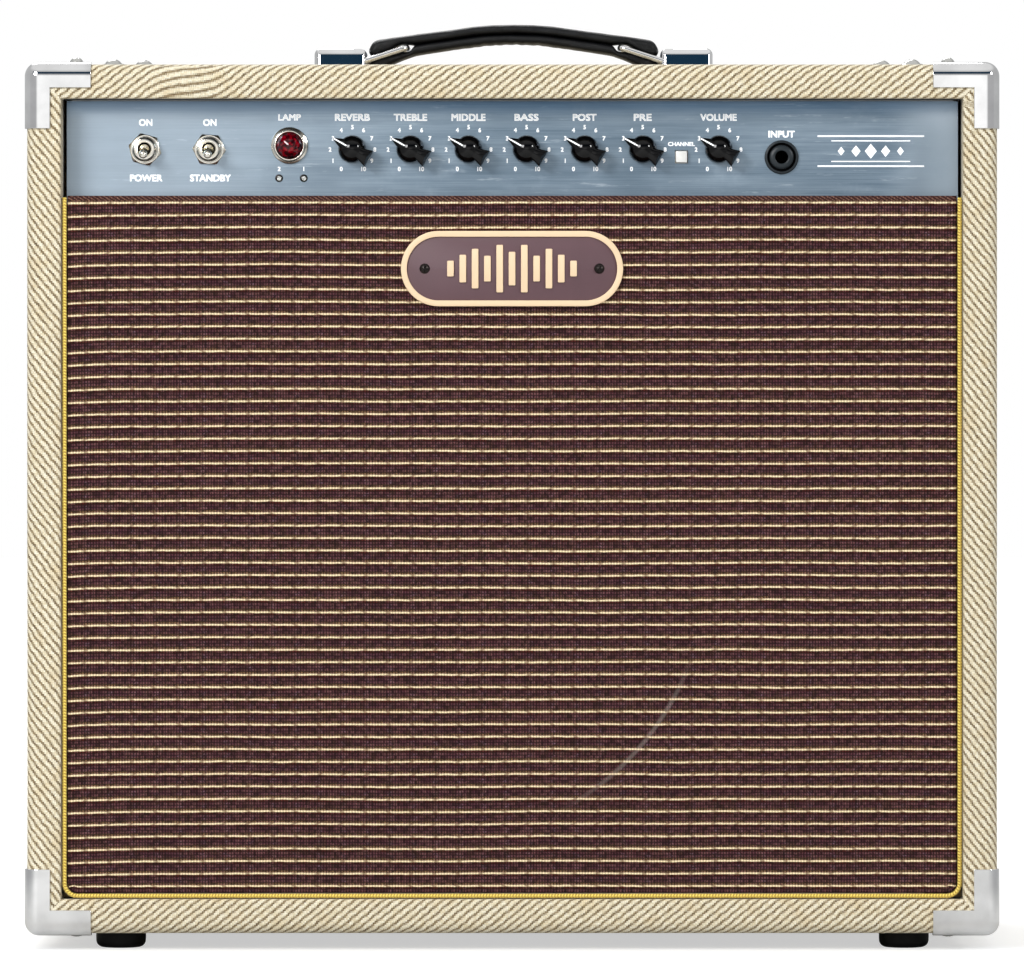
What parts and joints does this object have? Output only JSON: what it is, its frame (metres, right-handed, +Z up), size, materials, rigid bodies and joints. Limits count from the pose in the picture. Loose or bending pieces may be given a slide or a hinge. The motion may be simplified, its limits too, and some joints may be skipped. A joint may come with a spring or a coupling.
{
  "type": "guitar amplifier combo",
  "caption": "Open-back valve guitar amplifier in cream tweed with a woven oxblood grille, a recessed brushed control panel with pointer knobs, chrome corners and a padded top handle.",
  "frame": {"origin": "centre of the bounding box's base: on the floor, under the middle of the cabinet", "axes": "+X to the right seen from the front, +Y from the front to the back, +Z up"},
  "size_m": [0.497, 0.2434, 0.4715],
  "materials": {
    "plywood": "birch plywood, unfinished",
    "black_board": "painted black",
    "tweed": "cream and tan diagonal tweed, lacquered",
    "chrome_plate": "bright nickel-chrome plate",
    "steel_bright": "bright zinc plate",
    "steel_dark": "blackened",
    "black_rubber": "matt black",
    "grille_fabric": "oxblood weave with gold yarn stripes",
    "gold_cord": "woven gold cord",
    "badge_enamel": "cream bars and rim on a plum-grey field",
    "painted_steel": "satin black",
    "gasket_card": "pressed card",
    "ferrite": "ferrite, matt",
    "zinc_steel": "zinc plate",
    "treated_cloth": "resin-treated cloth",
    "treated_cloth_dark": "resin-treated cloth",
    "cone_paper": "pressed paper, ribbed",
    "cap_felt": "pressed grey paper",
    "copper": "enamelled copper wire",
    "brushed_panel": "brushed and anodised",
    "nickel": "polished nickel",
    "red_glass": "faceted red lens",
    "clear_glass": "clear",
    "black_plastic": "moulded black",
    "knob_black": "moulded phenolic, polished",
    "white_plastic": "moulded white",
    "black_enamel": "black enamel",
    "board_green": "glass-epoxy laminate",
    "ceramic_white": "glazed ceramic",
    "lead_sleeve": "plastic sleeving",
    "black_vinyl": "padded black grained vinyl"
  },
  "bodies": {
    "cabinet": {"side_board_left": "plywood", "side_board_right": "plywood", "top_board": "plywood", "bottom_board": "plywood", "tweed_covering": "tweed", "corner_protectors": "chrome_plate", "wood_screws": "steel_bright", "feet": "black_rubber", "baffle_board": "black_board", "cleats": "plywood", "grille_cloth": "grille_fabric", "grille_piping": "gold_cord", "badge_plate": "badge_enamel", "badge_screws": "steel_dark", "speaker_basket": "painted_steel", "speaker_gasket": "gasket_card", "speaker_magnet": "ferrite", "speaker_yoke": "zinc_steel", "speaker_spider": "treated_cloth", "speaker_surround": "treated_cloth_dark", "speaker_bolts": "steel_bright", "chassis": "zinc_steel", "top_bolts": "steel_bright", "control_panel": "brushed_panel", "pot_bodies": "zinc_steel", "switch_bodies": "nickel", "jewel_bezel": "nickel", "jewel_lens": "red_glass", "status_leds": "clear_glass", "input_jack": "black_plastic", "rear_jacks": "black_plastic", "mains_inlet": "black_plastic", "power_transformer": "black_enamel", "output_transformer": "black_enamel", "circuit_board": "board_green", "tube_sockets": "ceramic_white", "preamp_tubes": "clear_glass", "power_tubes": "clear_glass", "reverb_tank": "zinc_steel", "internal_leads": "lead_sleeve", "back_panel_upper": "tweed", "vent_grille": "painted_steel", "back_panel_lower": "tweed", "handle_brackets": "chrome_plate"},
    "reverb_knob": {"reverb_knob": "knob_black"},
    "treble_knob": {"treble_knob": "knob_black"},
    "middle_knob": {"middle_knob": "knob_black"},
    "bass_knob": {"bass_knob": "knob_black"},
    "post_knob": {"post_knob": "knob_black"},
    "pre_knob": {"pre_knob": "knob_black"},
    "volume_knob": {"volume_knob": "knob_black"},
    "power_lever": {"power_lever": "nickel"},
    "standby_lever": {"standby_lever": "nickel"},
    "channel_button": {"channel_button": "white_plastic"},
    "cone_assembly": {"speaker_cone": "cone_paper", "dust_cap": "cap_felt", "voice_coil": "copper"},
    "handle_grip": {"handle_grip": "black_vinyl"},
    "handle_link_left": {"handle_link_left": "chrome_plate"},
    "handle_link_right": {"handle_link_right": "chrome_plate"}
  },
  "joints": [
    {"name": "reverb_turn", "type": "hinge", "parent": "cabinet", "child": "reverb_knob", "pos_m": [-0.081, -0.1075, 0.4041], "axis": [0, 1, 0], "range_deg": [-90, 210]},
    {"name": "treble_turn", "type": "hinge", "parent": "cabinet", "child": "treble_knob", "pos_m": [-0.0516, -0.1075, 0.4041], "axis": [0, 1, 0], "range_deg": [-90, 210]},
    {"name": "middle_turn", "type": "hinge", "parent": "cabinet", "child": "middle_knob", "pos_m": [-0.0222, -0.1075, 0.4041], "axis": [0, 1, 0], "range_deg": [-90, 210]},
    {"name": "bass_turn", "type": "hinge", "parent": "cabinet", "child": "bass_knob", "pos_m": [0.0072, -0.1075, 0.4041], "axis": [0, 1, 0], "range_deg": [-90, 210]},
    {"name": "post_turn", "type": "hinge", "parent": "cabinet", "child": "post_knob", "pos_m": [0.0366, -0.1075, 0.4041], "axis": [0, 1, 0], "range_deg": [-90, 210]},
    {"name": "pre_turn", "type": "hinge", "parent": "cabinet", "child": "pre_knob", "pos_m": [0.066, -0.1075, 0.4041], "axis": [0, 1, 0], "range_deg": [-90, 210]},
    {"name": "volume_turn", "type": "hinge", "parent": "cabinet", "child": "volume_knob", "pos_m": [0.1044, -0.1075, 0.4041], "axis": [0, 1, 0], "range_deg": [-90, 210]},
    {"name": "power_throw", "type": "hinge", "parent": "cabinet", "child": "power_lever", "pos_m": [-0.186, -0.104, 0.4041], "axis": [-1, 0, 0], "range_deg": [0, 28]},
    {"name": "standby_throw", "type": "hinge", "parent": "cabinet", "child": "standby_lever", "pos_m": [-0.1535, -0.104, 0.4041], "axis": [-1, 0, 0], "range_deg": [0, 28]},
    {"name": "channel_press", "type": "slide", "parent": "cabinet", "child": "channel_button", "axis": [0, 1, 0], "range_m": [0, 0.0025], "stiffness_N_per_m": 400},
    {"name": "cone_travel", "type": "slide", "parent": "cabinet", "child": "cone_assembly", "axis": [0, 1, 0], "range_m": [-0.002, 0.002], "stiffness_N_per_m": 6500, "deforming": ["speaker_surround", "speaker_spider"]},
    {"name": "handle_lift", "type": "slide", "parent": "cabinet", "child": "handle_grip", "axis": [0, 0, 1], "range_m": [0, 0.005]},
    {"name": "link_swing_right", "type": "hinge", "parent": "cabinet", "child": "handle_link_right", "pos_m": [0.0795, 0, 0.4515], "axis": [0, 1, 0], "range_deg": [0, 12.39]},
    {"name": "link_swing_left", "type": "hinge", "parent": "cabinet", "child": "handle_link_left", "pos_m": [-0.0795, 0, 0.4515], "axis": [0, -1, 0], "range_deg": [0, 12.39]}
  ],
  "couplings": [
    {"joint": "link_swing_right", "follows": "handle_lift", "rad_per_m": 43.067},
    {"joint": "link_swing_left", "follows": "handle_lift", "rad_per_m": 43.067}
  ]
}
